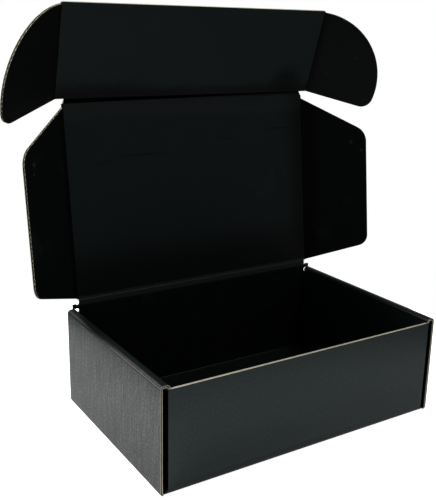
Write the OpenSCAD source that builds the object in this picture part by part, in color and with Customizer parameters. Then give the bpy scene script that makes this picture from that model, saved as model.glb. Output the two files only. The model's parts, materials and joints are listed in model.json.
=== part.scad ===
// Corrugated mailer box, standing open: a roll-end tray with its lid, tuck flap, ears and dust flaps.
// Millimetres. X runs left to right, Y front to back, Z up. The origin is the middle of the underside.

/* [Board] */
// thickness of the board
board = 1.8; // [1.6:0.1:2.0]

// distance from one flute to the next
flute_pitch = 3.4; // [3.2:0.1:3.6]
// thickness of each liner and of the fluted paper
paper = 0.26; // [0.2:0.02:0.3]

/* [Tray] */
// clear width between the inner side panels
inside_width = 229; // [200:1:280]
// depth over the front and back walls
outside_depth = 156; // [140:1:200]
// height of the rolled tops of the side walls
side_height = 79.2; // [60:0.2:110]
// how far the front wall's top edge lies below the rolled tops
front_drop = 3.4; // [3.4:0.1:6]
// length of each corner tab behind the outer side panel
tab_length = 58; // [30:1:65]
// length of each locking tab of the inner side panels
lock_length = 26; // [16:1:34]
// distance from the middle of the box to the middle of each locking tab
lock_place = 37.4; // [24:0.2:45]
// outside radius of the folds
fold_radius = 2.4; // [2.2:0.1:3]
// outside radius of the two creases of each rolled top
roll_radius = 3; // [3:0.1:3.4]

/* [Lid] */
// height of the lid's inner face above the rolled tops when the lid is shut
lid_clearance = 5.9; // [5.9:0.05:8]
// distance between the lid's side creases
lid_width = 226.8; // [196:0.2:226.8]
// how far the open lid leans back from upright
lid_lean = 7; // [0:1:15]

/* [Tuck flap and ears] */
// length of the tuck flap from its crease
tuck_length = 74; // [50:1:78]
// how far the tuck flap is bent forward from the lid
tuck_bend = 25; // [10:1:40]
// radius of the round edge of an ear
ear_radius = 59.5; // [45:0.5:60]
// how far the ears are bent forward from the tuck flap
ear_bend = 34; // [10:1:45]
// slope of the edge of an ear that is next to the lid
ear_slope = 5; // [2:1:8]

/* [Dust flaps] */
// width of a dust flap from its crease
dust_width = 59; // [45:1:70]
// how far the dust flaps are bent forward from the lid
dust_bend = 39; // [10:1:39]
// slope of the edge next to the hinge
dust_low_slope = 13.5; // [8:0.5:20]
// slope of the edge next to the tuck flap
dust_high_slope = 29; // [20:1:35]

/* [Hidden] */
$fn = 48;
eps = 0.02;
half = board/2;
play = 0.1;
slip = 0.15;
slot = 2.05;
inner_x = inside_width/2;
tab_x = inner_x + board + slip;
tab_out = tab_x + board;
panel_x = tab_out + slot;
outer_x = panel_x + board;
front_y = outside_depth/2;
roll_z = side_height - roll_radius;
front_top = side_height - front_drop;
corner_top = min(front_top, roll_z - 0.4);
hinge_y = front_y - half;
hinge_z = side_height + lid_clearance + half;
lid_x = lid_width/2;
lid_length = hinge_y + front_y + half + 0.3;
ear_x = tab_out + slot/2;
back_x = lid_x - 0.8;
shoulder_x = tab_out - 0.3;
shoulder_z = hinge_z - 3;
inner_y = front_y - board - slip;
black = [0.03, 0.03, 0.035];

// convex outline with one radius per corner; a zero radius leaves the corner sharp
function unit(v) = v/norm(v);
function cut_at(p, q, r, a) = p + unit(q - p)*r/tan(a/2);
function inside_angle(p, a, b) = acos(unit(a - p)*unit(b - p));
function corner_mid(p, a, b, r) = p + unit(unit(a - p) + unit(b - p))*r/sin(inside_angle(p, a, b)/2);

module round_outline(points, radii) {
    count = len(points);
    polygon([
        for (i = [0:count - 1])
            let (p = points[i], a = points[(i + count - 1) % count], b = points[(i + 1) % count])
            let (w = inside_angle(p, a, b), r = radii[i])
            for (q = r > 0 ? [cut_at(p, a, r, w), cut_at(p, b, r, w)] : [p]) q
    ]);
    for (i = [0:count - 1])
        if (radii[i] > 0)
            translate(corner_mid(points[i], points[(i + count - 1) % count], points[(i + 1) % count], radii[i]))
                circle(r = radii[i]);
}

// a board standing in the XZ plane, its inner face towards -Y
module upright() {
    rotate([90, 0, 0])
        linear_extrude(board, center = true)
            children();
}

// quarter ring in the corner of the first quadrant's opposite side
module fold_ring(outer) {
    intersection() {
        difference() {
            circle(r = outer);
            circle(r = outer - board);
        }
        translate([0, -outer])
            square([outer, outer]);
    }
}

// side wall in section, right-hand side: outer panel, rolled top and inner panel
module side_section() {
    translate([outer_x - fold_radius, fold_radius])
        fold_ring(fold_radius);
    translate([panel_x, fold_radius])
        square([board, roll_z - fold_radius]);
    roll_section();
}

// flat top between two creases, where the side wall turns inwards
module roll_section() {
    translate([outer_x - roll_radius, roll_z])
        scale([1, -1])
            fold_ring(roll_radius);
    translate([inner_x + roll_radius, roll_z])
        scale([-1, -1])
            fold_ring(roll_radius);
    translate([inner_x + roll_radius, side_height - board])
        square([outer_x - inner_x - 2*roll_radius, board]);
}

// front or back wall in section, seen along X with the wall to the right
module wall_section(top) {
    translate([front_y - fold_radius, fold_radius])
        fold_ring(fold_radius);
    translate([front_y - board, fold_radius])
        square([board, top - fold_radius]);
}

// everything that repeats left and right
module side_wall() {
    // outer panel and rolled top
    translate([0, front_y, 0])
        rotate([90, 0, 0])
            linear_extrude(2*front_y)
                side_section();
    // the bottom, up to the side fold
    difference() {
        translate([inner_x - 2, -front_y + fold_radius - eps, 0])
            cube([outer_x - fold_radius - inner_x + 2 + eps, 2*(front_y - fold_radius) + 2*eps, board]);
        for (s = [-1, 1])
            translate([inner_x - slip, s*lock_place - lock_length/2 - 0.4, -1])
                cube([board + 2*slip, lock_length + 0.8, board + 2]);
    }
    // inner panel, joined to the rolled top
    translate([inner_x, -inner_y, board + slip])
        cube([board, 2*inner_y, roll_z - board - slip + eps]);
    // locking tabs of the inner panel, standing in the slots of the bottom
    for (s = [-1, 1])
        translate([inner_x, s*lock_place - lock_length/2, 0.2])
            cube([board, lock_length, board + 2*slip]);
    // corner tabs between the two panels
    for (s = [-1, 1])
        scale([1, s, 1])
            corner_tab();
}

module corner_tab() {
    base = board + 0.8;
    translate([tab_out - fold_radius, front_y - fold_radius, 0])
        intersection() {
            // fold round the corner and flat behind it
            linear_extrude(corner_top) {
                scale([1, -1])
                    fold_ring(fold_radius);
                translate([-eps, fold_radius - board])
                    square([2*eps, board]);
                translate([fold_radius - board, -tab_length])
                    square([board, tab_length + eps]);
            }
            translate([-1, 0, 0])
                rotate([0, 90, 0])
                    linear_extrude(fold_radius + 2)
                        polygon([
                            [-base, fold_radius + 1],
                            [-corner_top - 1, fold_radius + 1],
                            [-corner_top - 1, 0],
                            [-corner_top, 0],
                            [-corner_top + 2, -tab_length + 8],
                            [-corner_top + 14, -tab_length],
                            [-board - 12, -tab_length],
                            [-board - 2, -tab_length + 10],
                            [-base, 0]
                        ]);
        }
}

// front wall, or back wall up to the height that they share, its bottom fold ending on the slant
module cross_wall(top) {
    reach = tab_out - fold_radius;
    fold_end = panel_x - slip;
    intersection() {
        translate([-fold_end, 0, 0])
            rotate([90, 0, 90])
                linear_extrude(2*fold_end)
                    wall_section(top);
        translate([0, front_y + 1, 0])
            rotate([90, 0, 0])
                linear_extrude(fold_radius + 2)
                    for (s = [-1, 1])
                        polygon([
                            [-s, 0],
                            [s*fold_end, 0],
                            [s*(fold_end - fold_radius), fold_radius],
                            [s*reach, fold_radius],
                            [s*reach, corner_top],
                            [s*(inner_x - 0.3), corner_top],
                            [s*(inner_x - 0.3), top],
                            [-s, top]
                        ]);
    }
}

module cross_walls() {
    scale([1, -1, 1])
        cross_wall(front_top);
    cross_wall(corner_top);
    // the narrower part of the back wall, which carries the lid
    translate([0, hinge_y, 0])
        upright()
            difference() {
                union() {
                    translate([-back_x - 2, corner_top - 1])
                        square([2*back_x + 4, hinge_z - corner_top + 1]);
                    // shoulders over the rolled tops
                    translate([-shoulder_x, side_height + 0.3])
                        square([2*shoulder_x, shoulder_z - side_height - 0.3]);
                }
                for (s = [-1, 1]) {
                    // relief beside the end of the rolled top
                    translate([s*(back_x + 2), corner_top + 2])
                        circle(r = 2);
                    // round relief at each end of the hinge
                    translate([s*(back_x + 1.2), shoulder_z + 0.6]) {
                        circle(r = 1.2);
                        translate([s > 0 ? -1.2 : -18.8, 0])
                            square([20, 20]);
                    }
                }
            }
    translate([-back_x, hinge_y, hinge_z])
        rotate([0, 90, 0])
            cylinder(r = half, h = 2*back_x);
}

module bottom_panel() {
    translate([-inner_x + 2 - eps, -front_y + fold_radius - eps, 0])
        cube([2*inner_x - 4 + 2*eps, 2*(front_y - fold_radius) + 2*eps, board]);
}

module tray() {
    color(black)
        union() {
            bottom_panel();
            cross_walls();
            for (s = [-1, 1])
                scale([s, 1, 1])
                    side_wall();
        }
}

module at_lid() {
    translate([0, hinge_y, hinge_z])
        rotate([-lid_lean, 0, 0])
            children();
}

module at_tuck() {
    at_lid()
        translate([0, 0, lid_length])
            rotate([tuck_bend, 0, 0])
                children();
}

// open flutes of a flap that stands in the XZ plane, between its liners: they run along X from the crease
module flutes(low, high, length) {
    crushed = 1.1*board;
    translate([crushed, 0, 0])
        rotate([90, 0, 90])
            linear_extrude(length)
                for (z = [low : flute_pitch : high]) {
                    translate([0, z])
                        flute_pocket(-1);
                    translate([0, z + flute_pitch/2])
                        flute_pocket(1);
                }
}

// the hollow under one wave of the fluted paper, closed by the liner on that side
module flute_pocket(side) {
    polygon([
        [side*liner_face, -pocket_half],
        for (s = [-0.3, -0.18, -0.06, 0.06, 0.18, 0.3]) [-side*wave_at(s), s*flute_pitch],
        [side*liner_face, pocket_half]
    ]);
}

liner_face = half - paper;
wave_height = liner_face - paper/2;
wave_back = 0.56*paper;
pocket_half = flute_pitch*acos((wave_back - liner_face)/wave_height)/360;
function wave_at(s) = wave_height*cos(s*360) - wave_back;

// round edge of a board, along Z at the origin
module crease_round(low, high) {
    translate([0, 0, low])
        cylinder(r = half, h = high - low);
}

// clears a flap for the round edge it turns about, along Z at the origin, flap towards +X
module crease_clear(low, high) {
    translate([0, 0, low])
        cylinder(r = half + play, h = high - low);
    translate([-2, -half - 1, low])
        cube([2 + half + play, half + 1, high - low]);
    translate([-4, -half - 1, low])
        cube([4, board + 2, high - low]);
}

dust_low = 1.4;
dust_high = lid_length - 5.3;

module lid() {
    color(black)
        at_lid() {
            upright()
                polygon([
                    [-lid_x, half + play],
                    [lid_x, half + play],
                    [lid_x, lid_length - 3],
                    [lid_x - 1.5, lid_length],
                    [-lid_x + 1.5, lid_length],
                    [-lid_x, lid_length - 3]
                ]);
            for (s = [-1, 1])
                translate([s*lid_x, 0, 0])
                    crease_round(half + play, lid_length - 3);
            translate([-lid_x + 1.5, 0, lid_length])
                rotate([0, 90, 0])
                    cylinder(r = half, h = 2*lid_x - 3);
        }
}

module tuck_flap() {
    color(black)
        at_tuck() {
            difference() {
                upright()
                    round_outline(
                        [[-ear_x, half + play], [ear_x, half + play], [ear_x, tuck_length], [-ear_x, tuck_length]],
                        [0, 0, 1, 1]);
                // trough that turns about the round front edge of the lid
                rotate([0, 90, 0])
                    cylinder(r = half + play, h = 2*ear_x + 20, center = true);
            }
            translate([-lid_x + 1.5, 0, 0])
                crease_lip(2*lid_x - 3);
            for (s = [-1, 1])
                translate([s*ear_x, 0, 0])
                    crease_round(half + play, tuck_length - 1);
        }
}

// outer half of the tuck flap's edge, reaching round the crease
module crease_lip(length) {
    difference() {
        translate([0, 0, 0])
            cube([length, half, half + play + eps]);
        rotate([0, 90, 0])
            translate([0, 0, -1])
                cylinder(r = half + play, h = length + 2);
    }
}

// outline of an ear: a large arc, a slanted lower edge and a round lobe between them
ear_mid = [2.5, 13];
lobe_r = 10;
ear_low = half + play + 0.1;
low_dir = [cos(ear_slope), -sin(ear_slope)];
low_up = [sin(ear_slope), cos(ear_slope)];
lobe_from = [0, ear_low] + lobe_r*low_up - ear_mid;
lobe_b = lobe_from*low_dir;
lobe_c = lobe_from*lobe_from - pow(ear_radius - lobe_r, 2);
lobe_s = -lobe_b + sqrt(lobe_b*lobe_b - lobe_c);
lobe_mid = [0, ear_low] + lobe_s*low_dir + lobe_r*low_up;
lobe_turn = atan2(lobe_mid.y - ear_mid.y, lobe_mid.x - ear_mid.x);
ear_top = tuck_length - 1.5;
ear_reach = ear_mid.x + ear_radius;
ear_bottom = lobe_mid.y - lobe_r - flute_pitch;
ear_turn = asin((ear_top - ear_mid.y)/ear_radius);
far_turn = ear_top > ear_mid.y + ear_radius ? 90 : ear_turn;

// the outline is one run of short chords, at most 0.02 mm inside the true arcs
module ear_outline() {
    polygon([
        [0, ear_low],
        for (a = [-90 - ear_slope : 9.5 : lobe_turn]) lobe_mid + lobe_r*[cos(a), sin(a)],
        for (i = [0:40]) let (a = lobe_turn + (far_turn - lobe_turn)*i/40) ear_mid + ear_radius*[cos(a), sin(a)],
        [0, ear_mid.y + ear_radius*sin(far_turn)]
    ]);
}

module ear() {
    rotate([0, 0, -ear_bend])
        difference() {
            upright()
                ear_outline();
            flutes(ear_bottom, ear_top + flute_pitch, ear_reach);
            crease_clear(-20, tuck_length + 10);
        }
}

module left_ear() {
    color(black)
        at_tuck()
            scale([-1, 1, 1])
                translate([ear_x, 0, 0])
                    ear();
}

module right_ear() {
    color(black)
        at_tuck()
            translate([ear_x, 0, 0])
                ear();
}

module dust_flap() {
    low_end = dust_low + dust_width*tan(dust_low_slope);
    high_end = dust_high - dust_width*tan(dust_high_slope);
    rotate([0, 0, -dust_bend])
        difference() {
            upright()
                round_outline(
                    [[0, dust_low], [dust_width, low_end], [dust_width, high_end], [0, dust_high]],
                    [0, 10, 15, 0]);
            flutes(dust_low - flute_pitch, dust_high + flute_pitch, dust_width);
            crease_clear(-20, lid_length + 20);
        }
}

module left_dust_flap() {
    color(black)
        at_lid()
            scale([-1, 1, 1])
                translate([lid_x, 0, 0])
                    dust_flap();
}

module right_dust_flap() {
    color(black)
        at_lid()
            translate([lid_x, 0, 0])
                dust_flap();
}

tray();
lid();
tuck_flap();
left_ear();
right_ear();
left_dust_flap();
right_dust_flap();
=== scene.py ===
import json
import math

import bpy
from mathutils import Matrix, Vector


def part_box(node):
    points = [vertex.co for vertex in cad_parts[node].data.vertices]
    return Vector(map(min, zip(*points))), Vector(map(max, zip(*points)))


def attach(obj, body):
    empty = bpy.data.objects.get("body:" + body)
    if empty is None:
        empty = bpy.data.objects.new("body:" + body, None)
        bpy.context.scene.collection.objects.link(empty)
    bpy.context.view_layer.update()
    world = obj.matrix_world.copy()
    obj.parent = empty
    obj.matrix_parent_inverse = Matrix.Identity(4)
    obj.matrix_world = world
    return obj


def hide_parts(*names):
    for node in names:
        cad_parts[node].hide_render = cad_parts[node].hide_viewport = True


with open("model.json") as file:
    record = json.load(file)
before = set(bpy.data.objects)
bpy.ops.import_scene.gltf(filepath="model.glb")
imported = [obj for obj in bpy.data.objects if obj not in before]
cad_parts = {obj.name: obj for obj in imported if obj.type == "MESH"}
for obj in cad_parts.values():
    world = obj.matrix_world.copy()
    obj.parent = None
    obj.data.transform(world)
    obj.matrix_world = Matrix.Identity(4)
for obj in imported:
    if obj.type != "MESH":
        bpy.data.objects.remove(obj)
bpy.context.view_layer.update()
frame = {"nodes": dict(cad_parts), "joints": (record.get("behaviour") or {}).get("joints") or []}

MM = 0.001
RIGHT, BACK, UP = (1, 0, 0), (0, 1, 0), (0, 0, 1)

# The frame's own lines: hinge points and the directions in which the lid and the tuck flap stand.
JOINTS = {joint["name"]: joint for joint in frame["joints"]}
HINGE = Vector(JOINTS["lid_hinge"]["pos_m"])
FOLD = Vector(JOINTS["tuck_flap_hinge"]["pos_m"])
LID_UP = Vector(JOINTS["left_dust_flap_hinge"]["axis"])
TUCK_UP = Vector(JOINTS["right_ear_hinge"]["axis"])
# The board's thickness, the distance from flute to flute, and the flaps' bends in degrees.
BOARD = 1.8 * MM
FLUTE = 3.4 * MM
DUST_BEND = 39
EAR_BEND = 34

# The photograph's camera: width and focal length in pixels, and its place and directions.
PHOTO_WIDTH = 436
FOCAL_PX = 766.43
CAMERA_AT = (-0.32622, -0.46491, 0.29528)
CAMERA_RIGHT = (0.847547, -0.530395, 0.018570)
CAMERA_UP = (0.132343, 0.245105, 0.960421)

# Brightness of the room beyond the floor, for all but the camera.
STUDIO_LEVEL = 0.2
# The white sheet that the box stands on: its radius, and how much it glows for the camera.
SHEET_RADIUS = 0.30
SHEET_GLOW = 0.8


def shader_group(name, inputs, outputs):
    """An empty node group with named sockets; each socket is (name, kind, default)."""
    group = bpy.data.node_groups.new(name, "ShaderNodeTree")
    for label, kind, value in inputs:
        socket = group.interface.new_socket(label, in_out="INPUT", socket_type="NodeSocket" + kind)
        if value is not None:
            socket.default_value = value
    for label, kind in outputs:
        group.interface.new_socket(label, in_out="OUTPUT", socket_type="NodeSocket" + kind)
    return group, group.nodes.new("NodeGroupInput"), group.nodes.new("NodeGroupOutput")


def maths(tree, operation, a, b=None, c=None, clamp=False):
    """The result of one operation; each operand is a socket or a number."""
    node = tree.nodes.new("ShaderNodeMath")
    node.operation = operation
    node.use_clamp = clamp
    for socket, value in zip(node.inputs, (a, b, c)):
        if isinstance(value, bpy.types.NodeSocket):
            tree.links.new(value, socket)
        elif value is not None:
            socket.default_value = value
    return node.outputs[0]


def vector_maths(tree, operation, a, b, output="Vector"):
    """The same for vectors; output is Value where the result is a number."""
    node = tree.nodes.new("ShaderNodeVectorMath")
    node.operation = operation
    for socket, value in zip(node.inputs, (a, b)):
        if isinstance(value, bpy.types.NodeSocket):
            tree.links.new(value, socket)
        else:
            socket.default_value = value
    return node.outputs[output]


def noise(tree, vector, scale, detail=2.0, roughness=0.5, distortion=0.0):
    """Noise around 0.5; scale is its waves a metre."""
    node = tree.nodes.new("ShaderNodeTexNoise")
    node.inputs["Scale"].default_value = scale
    node.inputs["Detail"].default_value = detail
    node.inputs["Roughness"].default_value = roughness
    node.inputs["Distortion"].default_value = distortion
    tree.links.new(vector, node.inputs["Vector"])
    return node.outputs["Fac"]


def ramp(tree, value, low, high, start=0.0, end=1.0):
    """Smooth step from start at low to end at high."""
    node = tree.nodes.new("ShaderNodeMapRange")
    node.interpolation_type = "SMOOTHSTEP"
    tree.links.new(value, node.inputs["Value"])
    for socket, number in zip(("From Min", "From Max", "To Min", "To Max"), (low, high, start, end)):
        node.inputs[socket].default_value = number
    return node.outputs["Result"]


def colour_socket(sockets, name):
    return [socket for socket in sockets if socket.name == name and socket.type == "RGBA"][0]


def mix_colour(tree, factor, a, b):
    """Colour a where the factor is 0, and b where it is 1."""
    node = tree.nodes.new("ShaderNodeMix")
    node.data_type = "RGBA"
    tree.links.new(factor, node.inputs["Factor"])
    for name, value in (("A", a), ("B", b)):
        socket = colour_socket(node.inputs, name)
        if isinstance(value, bpy.types.NodeSocket):
            tree.links.new(value, socket)
        else:
            socket.default_value = (*value, 1)
    return colour_socket(node.outputs, "Result")


def make_camera():
    data = bpy.data.cameras.new("photo_camera")
    camera = bpy.data.objects.new("photo_camera", data)
    bpy.context.scene.collection.objects.link(camera)
    data.sensor_fit = "HORIZONTAL"
    data.sensor_width = 36.0
    data.lens = FOCAL_PX * data.sensor_width / PHOTO_WIDTH
    data.clip_start = 0.01
    right, up = Vector(CAMERA_RIGHT), Vector(CAMERA_UP)
    camera.matrix_world = Matrix((right, up, right.cross(up))).transposed().to_4x4()
    camera.location = CAMERA_AT
    bpy.context.scene.camera = camera


def make_world():
    """White all round for the camera, and a dimmer room for what lights the object."""
    world = bpy.data.worlds.new("studio")
    bpy.context.scene.world = world
    world.use_nodes = True
    tree = world.node_tree
    background = tree.nodes["Background"]
    background.inputs["Color"].default_value = (1, 1, 1, 1)
    path = tree.nodes.new("ShaderNodeLightPath")
    seen = maths(tree, "MAXIMUM", path.outputs["Is Camera Ray"], path.outputs["Is Transmission Ray"])
    level = maths(tree, "MULTIPLY_ADD", seen, 1 - STUDIO_LEVEL, STUDIO_LEVEL)
    tree.links.new(level, background.inputs["Strength"])


def make_floor():
    bpy.ops.object.select_all(action="DESELECT")
    bpy.ops.mesh.primitive_circle_add(vertices=64, radius=SHEET_RADIUS, fill_type="NGON", location=(0, 0, 0))
    floor = bpy.context.object
    floor.name = "floor"
    material = bpy.data.materials.new("studio_floor")
    material.use_nodes = True
    tree = material.node_tree
    shader = tree.nodes["Principled BSDF"]
    shader.inputs["Base Color"].default_value = (0.90, 0.90, 0.90, 1)
    shader.inputs["Roughness"].default_value = 0.9
    shader.inputs["Specular IOR Level"].default_value = 0.0
    # the camera sees it as white as the backdrop, with the object's soft shadow
    path = tree.nodes.new("ShaderNodeLightPath")
    shader.inputs["Emission Color"].default_value = (1, 1, 1, 1)
    glow = maths(tree, "MULTIPLY", path.outputs["Is Camera Ray"], SHEET_GLOW)
    tree.links.new(glow, shader.inputs["Emission Strength"])
    floor.data.materials.append(material)


def area_light(name, place, aim, size, power):
    """A round lamp that the camera doesn't see; power in watts."""
    data = bpy.data.lights.new(name, "AREA")
    data.shape = "DISK"
    data.size = size
    data.energy = power
    lamp = bpy.data.objects.new(name, data)
    bpy.context.scene.collection.objects.link(lamp)
    lamp.location = place
    lamp.rotation_euler = (Vector(aim) - Vector(place)).to_track_quat("-Z", "Y").to_euler()
    lamp.visible_camera = False


bpy.context.scene.view_settings.view_transform = "Standard"
make_camera()
make_world()
make_floor()
area_light("key_back_left", place=(-1.1, 0.9, 1.3), aim=(-0.3, 0.2, 0), size=1.0, power=43)
area_light("fill_front", place=(0.55, -0.6, 2.0), aim=(0.3, -0.2, 0), size=0.8, power=26)

# Colours of the board's papers and cuts, and of the painted shade and painted highlights at its creases,
# hollows and rolled top, linear.
SATIN_BLACK = (0.0032, 0.0076, 0.0082)
MATT_BLACK = (0.0021, 0.0037, 0.0040)
# Ink of the rolled top, painted a little darker than the walls' ink as shade.
ROLL_SHADED_BLACK = (0.0036, 0.0056, 0.0059)
# Black of the painted shade in creases and hollows, and of the marks of painted shade.
SHADE_BLACK = (0.0002, 0.0002, 0.0002)
COOL = (0.84, 1.0, 0.98)
WORN_PAPER = (0.030, 0.031, 0.032)
# Grey of the painted highlight along the lid's hinge and below the tuck flap's fold.
CREASE_HIGHLIGHT_GREY = (0.0135, 0.0148, 0.0150)
# The lighter tone of the painted shade in creases.
CREASE_SHADE_TONE = (0.0012, 0.0014, 0.0015)
# Pale line of painted highlight along the rolled top's outer crease.
ROLL_EDGE_HIGHLIGHT = (0.135, 0.131, 0.120)
KRAFT = (0.46, 0.435, 0.35)
KRAFT_DARK = (0.22, 0.20, 0.155)
KRAFT_OLIVE = (0.56, 0.54, 0.34)
SOAKED_LINER = (0.085, 0.082, 0.066)
# Brown of the painted shade deep in the flutes' hollows.
HOLLOW_SHADE_BROWN = (0.020, 0.015, 0.010)

# Heights of the ribs and of the grain on the paper.
RIB_HEIGHT = 0.006 * MM
FRONT_RIB_HEIGHT = 0.003 * MM
INSIDE_RIB_HEIGHT = 0.004 * MM
SIDE_RIB_HEIGHT = 0.016 * MM
GRAIN_HEIGHT = 0.06 * MM
SIDE_GRAIN_HEIGHT = 0.15 * MM
RAW_GRAIN_HEIGHT = 0.05 * MM

# The tray's walls get relief that shades them as if they bulged outward most at their middle height, and
# the side walls as if they leaned in a little more from the curl's foot up. Both fall with the square of the
# distance.
WALL_MIDDLE = 39 * MM
WALL_BOW = 0.9
CURL_FOOT = 68 * MM
WALL_CURL = 5.0

# How much slower the ribs change along the flutes, and their fine ripple's share of the height.
STREAK_DRAW = 0.15
RIPPLE_SHARE = 2.4

# Shine of the papers outside and inside, and of the lacquer's specks.
OUTSIDE_GLOSS = 0.33
INSIDE_GLOSS = 0.12
LACQUER_ROUGHNESS = 0.38
# How much the mottled ink varies the roughness, and how much rubbing adds to it.
MOTTLE_DULLS = 0.10
RUB_DULLS = 0.12

# Share of a mark's width that has its full strength.
MASK_CORE = 0.35

# Material slots: the first three on every piece, then the flaps' and then the tray's own.
SATIN, MATT, RAW = 0, 1, 2
# Slots for paper painted dark as shade: the flaps' flute hollows and creases, the tray's hollows at cut ends
# and its corners' folds.
FLAP_HOLLOW_SHADE, FLAP_CREASE_SHADE = 3, 4
CROSS_WALL, FLOOR, END_HOLLOW_SHADE, ROLLED_TOP, CORNER_FOLD_SHADE = 3, 4, 5, 6, 7


def make_washboard():
    """Faint ribs that the flutes press through the liner, one a flute along the given coordinate."""
    group, inside, outside = shader_group(
        "washboard",
        [("Along", "Float", 0.0), ("Vector", "Vector", None), ("Pitch", "Float", FLUTE)],
        [("Height", "Float"), ("Streak", "Float")],
    )
    phase = maths(group, "DIVIDE", inside.outputs["Along"], inside.outputs["Pitch"])
    wave = maths(group, "SINE", maths(group, "MULTIPLY", phase, 2 * math.pi))
    # drawn out along the flutes, so that each rib has its own strength and fades in and out
    slow = vector_maths(group, "MULTIPLY", inside.outputs["Vector"], (STREAK_DRAW,) * 3)
    place = vector_maths(group, "ADD", slow, inside.outputs["Along"])
    uneven = ramp(group, noise(group, place, 110, 2), 0.35, 0.65, 0.1, 1.0)
    streak = noise(group, place, 330, 2, 0.6)
    group.links.new(ramp(group, streak, 0.3, 0.7, 0.45, 1.55), outside.inputs["Streak"])
    ripple = maths(group, "SUBTRACT", streak, 0.5)
    height = maths(group, "MULTIPLY_ADD", ripple, RIPPLE_SHARE, maths(group, "MULTIPLY", wave, uneven))
    group.links.new(height, outside.inputs["Height"])
    return group


def make_paper_skin():
    """Printed paper: mottled ink, pale fibres and specks, rubbed patches, grain, specks of lacquer."""
    group, inside, outside = shader_group(
        "paper_skin",
        [("Vector", "Vector", None), ("Ink", "Color", (0, 0, 0, 1)), ("Rub", "Float", 0.5)],
        [
            ("Colour", "Color"), ("Mottle", "Float"), ("Rubbed", "Float"), ("Height", "Float"),
            ("Lacquer", "Float"),
        ],
    )
    place = inside.outputs["Vector"]
    mottle = noise(group, place, 90, 3, 0.6)
    specks = ramp(group, noise(group, place, 1500, 1, 0.5), 0.66, 0.74)
    fibres = ramp(group, noise(group, place, 650, 2, 0.7, 1.2), 0.64, 0.8, 0.0, 0.5)
    rubbed = ramp(group, noise(group, place, 28, 4, 0.65), 0.56, 0.78)
    rubbed = maths(group, "MULTIPLY", rubbed, inside.outputs["Rub"])
    pale = maths(group, "MULTIPLY", specks, 0.35)
    for worn, share in ((fibres, 0.25), (rubbed, 0.35)):
        pale = maths(group, "MAXIMUM", pale, maths(group, "MULTIPLY", worn, share))
    colour = mix_colour(group, pale, inside.outputs["Ink"], WORN_PAPER)
    group.links.new(colour, outside.inputs["Colour"])
    group.links.new(mottle, outside.inputs["Mottle"])
    group.links.new(rubbed, outside.inputs["Rubbed"])
    group.links.new(noise(group, place, 700, 3, 0.7), outside.inputs["Height"])
    group.links.new(ramp(group, noise(group, place, 820, 2, 0.6), 0.36, 0.64), outside.inputs["Lacquer"])
    return group


def make_band():
    """A stripe at a level along a direction, fading to both sides, with an uneven edge."""
    group, inside, outside = shader_group(
        "band",
        [
            ("Vector", "Vector", None), ("Direction", "Vector", UP), ("Level", "Float", 0.0),
            ("Width", "Float", MM), ("Ragged", "Float", 0.0),
        ],
        [("Mask", "Float")],
    )
    along = vector_maths(
        group, "DOT_PRODUCT", inside.outputs["Vector"], inside.outputs["Direction"], "Value"
    )
    distance = maths(group, "SUBTRACT", along, inside.outputs["Level"])
    finish_mask(group, maths(group, "ABSOLUTE", distance), inside, outside)
    return group


def make_spot():
    """A round patch about a centre, fading outward, with an uneven edge."""
    group, inside, outside = shader_group(
        "spot",
        [
            ("Vector", "Vector", None), ("Centre", "Vector", (0, 0, 0)),
            ("Width", "Float", MM), ("Ragged", "Float", 0.0),
        ],
        [("Mask", "Float")],
    )
    away = vector_maths(group, "DISTANCE", inside.outputs["Vector"], inside.outputs["Centre"], "Value")
    finish_mask(group, away, inside, outside)
    return group


def finish_mask(group, distance, inside, outside):
    """1 out to a part of the width, then falling to 0 at the width; noise makes the edge uneven."""
    jitter = maths(group, "SUBTRACT", noise(group, inside.outputs["Vector"], 160, 3, 0.6), 0.5)
    distance = maths(group, "MULTIPLY_ADD", jitter, inside.outputs["Ragged"], distance)
    node = group.nodes.new("ShaderNodeMapRange")
    node.interpolation_type = "SMOOTHSTEP"
    group.links.new(distance, node.inputs["Value"])
    full = maths(group, "MULTIPLY", inside.outputs["Width"], MASK_CORE)
    group.links.new(full, node.inputs["From Min"])
    group.links.new(inside.outputs["Width"], node.inputs["From Max"])
    node.inputs["To Min"].default_value = 1.0
    node.inputs["To Max"].default_value = 0.0
    group.links.new(node.outputs["Result"], outside.inputs["Mask"])


WASHBOARD = make_washboard()
PAPER_SKIN = make_paper_skin()
BAND = make_band()
SPOT = make_spot()


def band(direction, level, width, ragged=0.0):
    """A stripe's group and settings; level, from the frame's origin, and widths in millimetres."""
    edges = {"Width": width * MM, "Ragged": ragged * MM}
    return BAND, {"Direction": Vector(direction), "Level": level * MM, **edges}


def spot(centre, width, ragged=0.0):
    """A patch's group and settings; centre in metres, widths in millimetres."""
    return SPOT, {"Centre": Vector(centre), "Width": width * MM, "Ragged": ragged * MM}


def mark(colour, strength, *shapes, relief=0.0):
    """A mark on the paper where all its shapes meet, for scuffs and for painted shade and highlights: its
    colour, and its relief in millimetres.
    """
    return colour, strength, shapes, relief * MM


def shade_mark(strength, *shapes, relief=0.0):
    """A mark of painted shade, black."""
    return mark(SHADE_BLACK, strength, *shapes, relief=relief)


def place_group(tree, group, **values):
    """The outputs of a new node of the group; each value is a socket, a colour, a number or a vector."""
    node = tree.nodes.new("ShaderNodeGroup")
    node.node_tree = group
    for name, value in values.items():
        if isinstance(value, bpy.types.NodeSocket):
            tree.links.new(value, node.inputs[name])
        elif isinstance(value, tuple):
            node.inputs[name].default_value = (*value, 1)
        else:
            node.inputs[name].default_value = value
    return node.outputs


def new_material(name):
    material = bpy.data.materials.new(name)
    material.use_nodes = True
    tree = material.node_tree
    place = tree.nodes.new("ShaderNodeTexCoord").outputs["Object"]
    return material, tree, tree.nodes["Principled BSDF"], place


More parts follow.
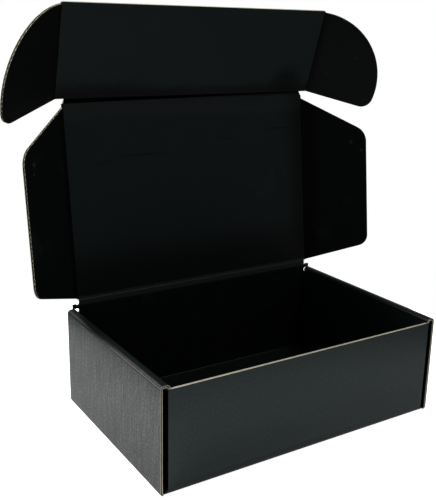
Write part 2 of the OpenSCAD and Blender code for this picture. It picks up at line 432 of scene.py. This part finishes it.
def add_bump(tree, shader, height):
    """Relief from a height in metres."""
    bump = tree.nodes.new("ShaderNodeBump")
    bump.inputs["Strength"].default_value = 1.0
    bump.inputs["Distance"].default_value = 1.0
    tree.links.new(height, bump.inputs["Height"])
    tree.links.new(bump.outputs["Normal"], shader.inputs["Normal"])


def rise(tree, place, foot):
    """How far a place lies above the foot."""
    return maths(tree, "SUBTRACT", vector_maths(tree, "DOT_PRODUCT", place, UP, "Value"), foot)


def fall(tree, distance, amount):
    """A height that falls with the square of the distance."""
    return maths(tree, "MULTIPLY", maths(tree, "MULTIPLY", distance, distance), -amount)


def paper(
    name, ribs, ink, gloss, rib_height, rub=0.5, roughness=0.40, grain_height=GRAIN_HEIGHT,
    tint=(1, 1, 1), bow=0.0, curl=0.0, marks=(), lacquer=0.0, streaks=False,
):
    """Paper face of the board. ribs is the direction across the flutes; bow and curl give a wall relief that
    shades it as if bent.
    """
    material, tree, shader, place = new_material(name)
    across = vector_maths(tree, "DOT_PRODUCT", place, ribs, "Value")
    skin = place_group(tree, PAPER_SKIN, Vector=place, Ink=ink, Rub=rub)
    wave = place_group(tree, WASHBOARD, Along=across, Vector=place)
    rough = maths(tree, "MULTIPLY_ADD", skin["Mottle"], MOTTLE_DULLS, roughness - MOTTLE_DULLS / 2)
    rough = maths(tree, "MULTIPLY_ADD", skin["Rubbed"], RUB_DULLS, rough)
    tree.links.new(rough, shader.inputs["Roughness"])
    shader.inputs["Specular IOR Level"].default_value = gloss
    shader.inputs["Specular Tint"].default_value = (*tint, 1)
    if lacquer:
        # the printed face shines in fine specks, which the flutes gather in streaks
        shine = skin["Lacquer"]
        if streaks:
            shine = maths(tree, "MULTIPLY", shine, wave["Streak"])
        tree.links.new(maths(tree, "MULTIPLY", shine, lacquer), shader.inputs["Coat Weight"])
        shader.inputs["Coat Roughness"].default_value = LACQUER_ROUGHNESS
    height = maths(tree, "MULTIPLY", skin["Height"], grain_height)
    height = maths(tree, "MULTIPLY_ADD", wave["Height"], rib_height, height)
    if bow:
        height = maths(tree, "ADD", height, fall(tree, rise(tree, place, WALL_MIDDLE), bow))
    if curl:
        above = maths(tree, "MAXIMUM", rise(tree, place, CURL_FOOT), 0)
        height = maths(tree, "ADD", height, fall(tree, above, curl))
    colour = skin["Colour"]
    # the marks paint wear, painted shade and painted highlights into the colour
    for tone, strength, shapes, relief in marks:
        mask = strength
        for group, settings in shapes:
            shape = place_group(tree, group, Vector=place, **settings)["Mask"]
            mask = maths(tree, "MULTIPLY", shape, mask)
        colour = mix_colour(tree, mask, colour, tone)
        if relief:
            height = maths(tree, "MULTIPLY_ADD", mask, relief, height)
    tree.links.new(colour, shader.inputs["Base Color"])
    add_bump(tree, shader, height)
    return material


def satin(name, ribs):
    """The outside's paper on the lid and its flaps."""
    return paper(name, ribs, SATIN_BLACK, OUTSIDE_GLOSS, RIB_HEIGHT, tint=COOL, lacquer=0.4)


def matt(name, ribs, shade, marks=(), gloss=INSIDE_GLOSS):
    """The inside's paper; shade lightens or darkens its ink, piece by piece, as painted light and shade."""
    ink = tuple(level * shade for level in MATT_BLACK)
    return paper(name, ribs, ink, gloss, INSIDE_RIB_HEIGHT, rub=0.4, roughness=0.45, marks=marks)


def raw_kraft(name, core=None):
    """Cut edges: bare brown paper, fibrous and matt; outside the core, ink has soaked into the liners."""
    material, tree, shader, place = new_material(name)
    fibre = noise(tree, place, 1100, 3, 0.7)
    blotch = ramp(tree, noise(tree, place, 170, 3, 0.6), 0.3, 0.7, 0.6, 1.0)
    shade = maths(tree, "MULTIPLY", blotch, maths(tree, "MULTIPLY_ADD", fibre, 0.5, 0.6), clamp=True)
    colour = mix_colour(tree, shade, KRAFT_DARK, KRAFT_OLIVE if core else KRAFT)
    if core:
        group, settings = core
        inner = place_group(tree, group, Vector=place, **settings)["Mask"]
        colour = mix_colour(tree, inner, SOAKED_LINER, colour)
    tree.links.new(colour, shader.inputs["Base Color"])
    shader.inputs["Roughness"].default_value = 0.9
    shader.inputs["Specular IOR Level"].default_value = 0.2
    add_bump(tree, shader, maths(tree, "MULTIPLY", fibre, RAW_GRAIN_HEIGHT))
    return material


def painted_shade_paper(name, pale, deep, scale):
    """Paper painted near black as shade, for a hollow or a crease where almost no light comes."""
    material, tree, shader, place = new_material(name)
    blotch = ramp(tree, noise(tree, place, scale, 3, 0.6), 0.35, 0.65)
    tree.links.new(mix_colour(tree, blotch, deep, pale), shader.inputs["Base Color"])
    shader.inputs["Roughness"].default_value = 1.0
    shader.inputs["Specular IOR Level"].default_value = 0.0
    return material


KRAFT_BOARD = raw_kraft("raw_kraft")
# The flutes' hollows in the cut edges are painted dark as shade.
FLUTE_HOLLOW_SHADE = painted_shade_paper("flute_hollow_painted_shade", HOLLOW_SHADE_BROWN, SHADE_BLACK, 300)
# Creases and the tray's corner folds are painted near black as shade.
CREASE_SHADE_PAPER = painted_shade_paper("crease_painted_shade", CREASE_SHADE_TONE, SHADE_BLACK, 200)


# Distance below which corners are merged, and angle below which faces are shaded smoothly.
MERGE = 0.002 * MM
SMOOTH_ANGLE = math.radians(35)


def deselect():
    if bpy.context.object and bpy.context.object.mode != "OBJECT":
        bpy.ops.object.mode_set(mode="OBJECT")
    bpy.ops.object.select_all(action="DESELECT")


def make_active(piece):
    deselect()
    piece.select_set(True)
    bpy.context.view_layer.objects.active = piece


def board_from(name, materials):
    """A merged copy of a node, with its material slots."""
    piece = bpy.data.objects.new(name + "_board", frame["nodes"][name].data.copy())
    bpy.context.scene.collection.objects.link(piece)
    make_active(piece)
    bpy.ops.object.mode_set(mode="EDIT")
    bpy.ops.mesh.select_all(action="SELECT")
    bpy.ops.mesh.remove_doubles(threshold=MERGE)
    bpy.ops.object.mode_set(mode="OBJECT")
    piece.data.materials.clear()
    for material in materials:
        piece.data.materials.append(material)
    return piece


def finish_board(piece, name):
    """Smooths a board and gives it to its node, which it replaces."""
    make_active(piece)
    bpy.ops.object.shade_smooth_by_angle(angle=SMOOTH_ANGLE)
    # large flat faces keep their own normal beside the narrow round creases
    bpy.ops.object.modifier_add(type="WEIGHTED_NORMAL")
    piece.modifiers[-1].weight = 100
    piece.modifiers[-1].keep_sharp = True
    bpy.ops.object.modifier_apply(modifier=piece.modifiers[-1].name)
    deselect()
    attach(piece, name)
    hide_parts(name)


# These two lie straight across the box; the other four flaps are bent at their sides.
BROAD_FLAPS = ("lid", "tuck_flap")


def board_frame(name):
    """A flap's own frame: a point on its crease line, and its directions across, through and up."""
    right = Vector(RIGHT)
    if name in BROAD_FLAPS:
        origin, up = (HINGE, LID_UP) if name == "lid" else (FOLD, TUCK_UP)
        return origin, right, up.cross(right).normalized(), up
    side = -1 if name.startswith("left") else 1
    up, bend = (LID_UP, math.radians(DUST_BEND)) if "dust" in name else (TUCK_UP, math.radians(EAR_BEND))
    across = right * side * math.cos(bend) - up.cross(right) * math.sin(bend)
    return Vector(JOINTS[name + "_hinge"]["pos_m"]), across, up.cross(across) * side, up


def select_faces(piece, wanted):
    """Selects in edit mode the faces for which wanted(centre, normal) is true."""
    bpy.ops.object.mode_set(mode="EDIT")
    bpy.ops.mesh.select_mode(type="FACE")
    bpy.ops.mesh.select_all(action="DESELECT")
    bpy.ops.object.mode_set(mode="OBJECT")
    for face in piece.data.polygons:
        face.select = wanted(face.center, face.normal)
    bpy.ops.object.mode_set(mode="EDIT")


# Angle below which faces are joined, and the width of the slope inside each liner.
FLAT_ANGLE = math.radians(1)
LINER_SLOPE = 0.05 * MM


def hollow_edge(piece, wanted, liner, depth, slot):
    """Sinks the middle of a raw edge between its two liners."""
    select_faces(piece, wanted)
    bpy.ops.mesh.dissolve_limited(angle_limit=FLAT_ANGLE)
    bpy.ops.mesh.inset(thickness=liner, depth=0)
    bpy.ops.mesh.inset(thickness=LINER_SLOPE, depth=-depth)
    piece.active_material_index = slot
    bpy.ops.object.material_slot_assign()
    bpy.ops.object.mode_set(mode="OBJECT")


# Width of the creased strip along the edges of the lid and the tuck flap, of that along the
# bent flaps, and of the strip at the lid's hinge that keeps the papers' own colours.
BROAD_CREASE = 1.2 * MM
BENT_CREASE = 1.5 * MM
HINGE_STRIP = 3 * MM
# How far the bare core reaches from the middle of a cut edge, fading out, in millimetres.
CORE_REACH = 1.05
# Faces this far from the middle of the board, and looking this much through it, are its papers.
SKIN_DEPTH = BOARD / 2 - 0.04 * MM
SKIN_FACING = 0.7
# A flute's walls look through the board at least this much, and along the flute at most this much.
FLUTE_FACING = 0.05
FLUTE_SKEW = 0.01
# Faces of a creased strip that look outward more than this keep their own paper; the others are painted
# black as shade.
CREASE_FACING = 0.3


def make_flap(name, satin_face, matt_face):
    """One flap: satin outside, matt inside, raw wherever the board is cut."""
    origin, across, through, up = board_frame(name)
    broad = name in BROAD_FLAPS
    raw = KRAFT_BOARD
    if not broad:
        raw = raw_kraft(name + "_raw", band(through, origin.dot(through) / MM, CORE_REACH))
    piece = board_from(name, [satin_face, matt_face, raw, FLUTE_HOLLOW_SHADE, CREASE_SHADE_PAPER])
    half_width = max(abs(corner.co.x) for corner in piece.data.vertices)
    lid_end = (FOLD - HINGE).length - BROAD_CREASE
    for face in piece.data.polygons:
        offset = face.center - origin
        height, depth, side = offset.dot(up), offset.dot(through), face.normal.dot(through)
        in_skin = abs(depth) > SKIN_DEPTH and abs(side) > SKIN_FACING
        in_flute = abs(face.normal.dot(across)) < FLUTE_SKEW and abs(side) > FLUTE_FACING
        if broad:
            crease = half_width - abs(face.center.x) < BROAD_CREASE or height < BROAD_CREASE
            crease = crease or (name == "lid" and height > lid_end)
        else:
            crease = offset.dot(across) < BENT_CREASE
        at_hinge = name == "lid" and height < HINGE_STRIP
        # inward faces in a crease's strip are painted black as shade
        if crease and not at_hinge and side < CREASE_FACING:
            face.material_index = FLAP_CREASE_SHADE
        elif crease or in_skin:
            face.material_index = SATIN if (side > 0 or crease and depth > 0) else MATT
        # the flutes' walls inside a cut edge are painted dark as shade
        elif in_flute and abs(depth) < SKIN_DEPTH and not broad:
            face.material_index = FLAP_HOLLOW_SHADE
        else:
            face.material_index = RAW
    finish_board(piece, name)


# Places on the tray: half widths from its middle, and heights above its underside.
PANEL_INSIDE = 114.4 * MM
TAB_OUTSIDE = 118.2 * MM
PANEL_OUTSIDE = 119.65 * MM
CORNER_GAP = (115 * MM, 119 * MM)
FOLD_TOP = 75.9 * MM
ROLL_FOOT = 75.95 * MM
ROLL_PAPER_FOOT = 76.3 * MM
WALL_TOPS = (74 * MM, 77 * MM)
FLOOR_TOP = 3 * MM
UNDERSIDE = 0.1 * MM
# How far in from the front and the back: a cut end, a wall's thickness, and a corner's fold.
END_DEPTH = 0.1 * MM
WALL_DEPTH = 1.9 * MM
FOLD_DEPTH = 2.5 * MM
# How much a face looks along an axis: a flat end or top, the floor or underside, a corner's fold.
SQUARE, MOSTLY, PARTLY = 0.9, 0.5, 0.2
# The faces of a corner's fold may look inward this much along the depth.
INWARD_SLACK = 0.01
# The hollows in the cut edges: the liners' thickness beside them and their depth.
END_LINER, END_SINK = 0.42 * MM, 1.5 * MM
TOP_LINER, TOP_SINK = 0.45 * MM, 0.25 * MM


def make_tray_papers():
    """The tray's materials in the order of its slots, with the painted shade and painted highlights that the
    photograph shows.
    """
    # painted highlight along the rolled top's outer crease
    roll_edge_highlight = mark(
        ROLL_EDGE_HIGHLIGHT, 0.9, band(UP, 77.45, 0.45, 0.3), band(RIGHT, -121.9, 1.4), band(BACK, -50, 90, 60)
    )
    # the rolled top's paper, its ink painted darker as shade
    rolled_top = paper(
        "tray_roll_satin", ribs=BACK, ink=ROLL_SHADED_BLACK, gloss=0.17, rib_height=RIB_HEIGHT,
        marks=[roll_edge_highlight], lacquer=0.25,
    )
    side_satin = paper(
        "tray_side_satin", ribs=BACK, ink=SATIN_BLACK, gloss=0.28, rib_height=SIDE_RIB_HEIGHT,
        grain_height=SIDE_GRAIN_HEIGHT, bow=WALL_BOW, curl=WALL_CURL, lacquer=0.52, streaks=True,
    )
    # painted shade along the front wall's foot, and a wider band over its left part with a shallow dent
    foot_shade = [
        shade_mark(0.9, band(UP, 0.5, 2.5, 0.5)),
        shade_mark(0.6, band(UP, 5.5, 2.4, 2.5), band(RIGHT, -25, 110, 40), relief=-0.2),
    ]
    cross_satin = paper(
        "tray_front_satin", ribs=UP, ink=SATIN_BLACK, gloss=0.26, rib_height=FRONT_RIB_HEIGHT,
        tint=COOL, bow=WALL_BOW, marks=foot_shade, lacquer=0.18,
    )
    # painted highlight along the lid's hinge, on the back wall's inside
    hinge_highlight = mark(CREASE_HIGHLIGHT_GREY, 0.9, band(UP, 84.6, 3.8, 1.5), band(BACK, 77, 6))
    # the tray's inside and floor have their ink darkened as painted shade
    inside_matt = matt("tray_inside_matt", UP, 0.4, [hinge_highlight])
    floor_matt = matt("tray_floor_matt", BACK, 0.4)
    return [side_satin, inside_matt, KRAFT_BOARD, cross_satin, floor_matt, FLUTE_HOLLOW_SHADE, rolled_top, CREASE_SHADE_PAPER]


def make_tray():
    """The tray: satin outside, matt inside, raw at the panels' cut ends and along the walls' tops."""
    piece = board_from("tray", make_tray_papers())
    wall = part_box("tray")[1].y

    def side_end(centre, normal):
        on_end = abs(normal.y) > SQUARE and abs(centre.y) > wall - END_DEPTH
        on_roll = abs(centre.x) > PANEL_INSIDE and centre.z > ROLL_FOOT
        return on_end and (abs(centre.x) > PANEL_OUTSIDE or on_roll)

    def wall_top(centre, normal):
        on_wall = abs(centre.y) > wall - WALL_DEPTH and WALL_TOPS[0] < centre.z < WALL_TOPS[1]
        return on_wall and normal.z > SQUARE

    for face in piece.data.polygons:
        x, y, z = face.center
        nx, ny, nz = face.normal
        between_panels = abs(x) < PANEL_INSIDE
        at_wall = abs(y) > wall - FOLD_DEPTH
        if side_end(face.center, face.normal) or wall_top(face.center, face.normal):
            slot = RAW
        elif abs(x) < TAB_OUTSIDE and y * ny > 0 and at_wall:
            slot = CROSS_WALL
        elif z < UNDERSIDE or nz < -MOSTLY:
            slot = CROSS_WALL
        elif between_panels and y * ny < 0:
            slot = MATT
        elif between_panels and z < FLOOR_TOP and nz > MOSTLY:
            slot = FLOOR
        elif z > ROLL_PAPER_FOOT and not between_panels:
            slot = ROLLED_TOP
        else:
            slot = SATIN
        # the outward faces of the corners' folds are painted black as shade
        in_gap = CORNER_GAP[0] < abs(x) < CORNER_GAP[1] and at_wall and z < FOLD_TOP
        outward = x * nx > PARTLY * abs(x) and y * ny > -INWARD_SLACK * abs(y)
        if in_gap and outward and slot != RAW:
            slot = CORNER_FOLD_SHADE
        face.material_index = slot
    # the cut edges are sunk between their liners; the hollows at the panels' ends take paper painted dark as
    # shade
    make_active(piece)
    hollow_edge(piece, side_end, END_LINER, END_SINK, END_HOLLOW_SHADE)
    hollow_edge(piece, wall_top, TOP_LINER, TOP_SINK, RAW)
    finish_board(piece, "tray")


def on_flap(name, across_mm, up_mm):
    """A point on a flap, in millimetres across and up from its crease."""
    origin, across, _, up = board_frame(name)
    return origin + across * across_mm * MM + up * up_mm * MM


def band_on(name, which, level_mm, width, ragged=0.0):
    """A stripe on a flap, at a distance in millimetres across or up from its crease."""
    origin, across, _, up = board_frame(name)
    direction = across if which == "across" else up
    return band(direction, origin.dot(direction) / MM + level_mm, width, ragged)


def scuff(name, across_mm, up_mm, width):
    """A small worn patch on a flap."""
    return mark(WORN_PAPER, 0.5, spot(on_flap(name, across_mm, up_mm), width, width * 1.2))


def shaded_dent(across_mm, up_mm, length, strength):
    """A short dent in the relief along the lid's flutes, with painted shade in it; the relief catches the
    light below it.
    """
    middle = spot(on_flap("lid", across_mm, up_mm), length / 2, 12)
    return shade_mark(strength, band_on("lid", "up", up_mm, 1.5, 1.2), middle, relief=-0.12)


# Painted shade in and beside the creases, painted highlights along them, dents with painted shade, and worn
# scuffs, where the photograph shows them.
lid_light_and_shade = [
    # painted shade over the lid's lower part by the hinge, and along its right side
    shade_mark(0.85, band_on("lid", "up", 0, 52, 4)),
    shade_mark(0.75, band_on("lid", "across", 117, 24, 6)),
    # painted highlight below the tuck flap's fold, painted shade in that fold, painted highlight along the
    # hinge
    mark(CREASE_HIGHLIGHT_GREY, 0.25, band_on("lid", "up", 148, 11, 3)),
    shade_mark(0.9, band_on("lid", "up", 155.8, 2.2, 1.0)),
    mark(CREASE_HIGHLIGHT_GREY, 0.9, band_on("lid", "up", 0, 4.0, 1.5)),
    # dents with painted shade in them
    shaded_dent(-50, 110.4, 56, 0.55),
    shaded_dent(-84, 106.0, 22, 0.4),
    shaded_dent(89, 125.0, 38, 0.5),
    shaded_dent(30, 119.0, 24, 0.3),
]
# Painted shade along the tuck flap's fold, more over its left part, and at its right corner.
tuck_shade = [
    shade_mark(0.85, band_on("tuck_flap", "up", 0, 12.5, 6)),
    shade_mark(0.5, band_on("tuck_flap", "up", 4, 14, 8), band_on("tuck_flap", "across", -90, 60, 10)),
    shade_mark(0.85, spot(on_flap("tuck_flap", 94, 8), 22, 10)),
]
# Painted shade along the bent flaps' creases, and worn scuffs.
flap_shade_and_scuffs = {
    "left_dust_flap": [
        shade_mark(0.9, band_on("left_dust_flap", "across", 2, 7, 2)),
        scuff("left_dust_flap", 46.9, 110.8, 2.4),
        scuff("left_dust_flap", 48.0, 103.8, 1.8),
    ],
    "right_dust_flap": [
        shade_mark(0.9, band_on("right_dust_flap", "across", 2, 16, 4)),
        scuff("right_dust_flap", 45.5, 109.2, 2.2),
        scuff("right_dust_flap", 54.3, 101.6, 2.6),
        scuff("right_dust_flap", 60.0, 101.5, 2.0),
    ],
    "left_ear": [shade_mark(0.9, band_on("left_ear", "across", 0, 8, 2))],
    "right_ear": [
        shade_mark(1.0, band_on("right_ear", "across", 0, 7, 3)),
        scuff("right_ear", 37.1, 39.3, 2.2),
        scuff("right_ear", 14.6, 20.8, 1.8),
    ],
}
# Painted light and shade on the bent flaps' inside, as a factor on its ink, and its gloss.
FLAP_INK_LIGHT_AND_GLOSS = {
    "left_dust_flap": (0.45, 0.06),
    "right_dust_flap": (0.5, 0.06),
    "left_ear": (0.35, 0.09),
    "right_ear": (1.1, 0.09),
}

lid_satin, tuck_satin = satin("lid_satin", LID_UP), satin("tuck_satin", TUCK_UP)
make_tray()
# The lid's and the tuck flap's inside inks are lightened as painted light.
make_flap("lid", lid_satin, matt("lid_matt", LID_UP, 1.8, lid_light_and_shade))
make_flap("tuck_flap", tuck_satin, matt("tuck_matt", TUCK_UP, 3.9, tuck_shade))
for flap, (shade, gloss) in FLAP_INK_LIGHT_AND_GLOSS.items():
    outside, ribs = (lid_satin, LID_UP) if "dust" in flap else (tuck_satin, TUCK_UP)
    make_flap(flap, outside, matt(flap + "_matt", ribs, shade, flap_shade_and_scuffs[flap], gloss))
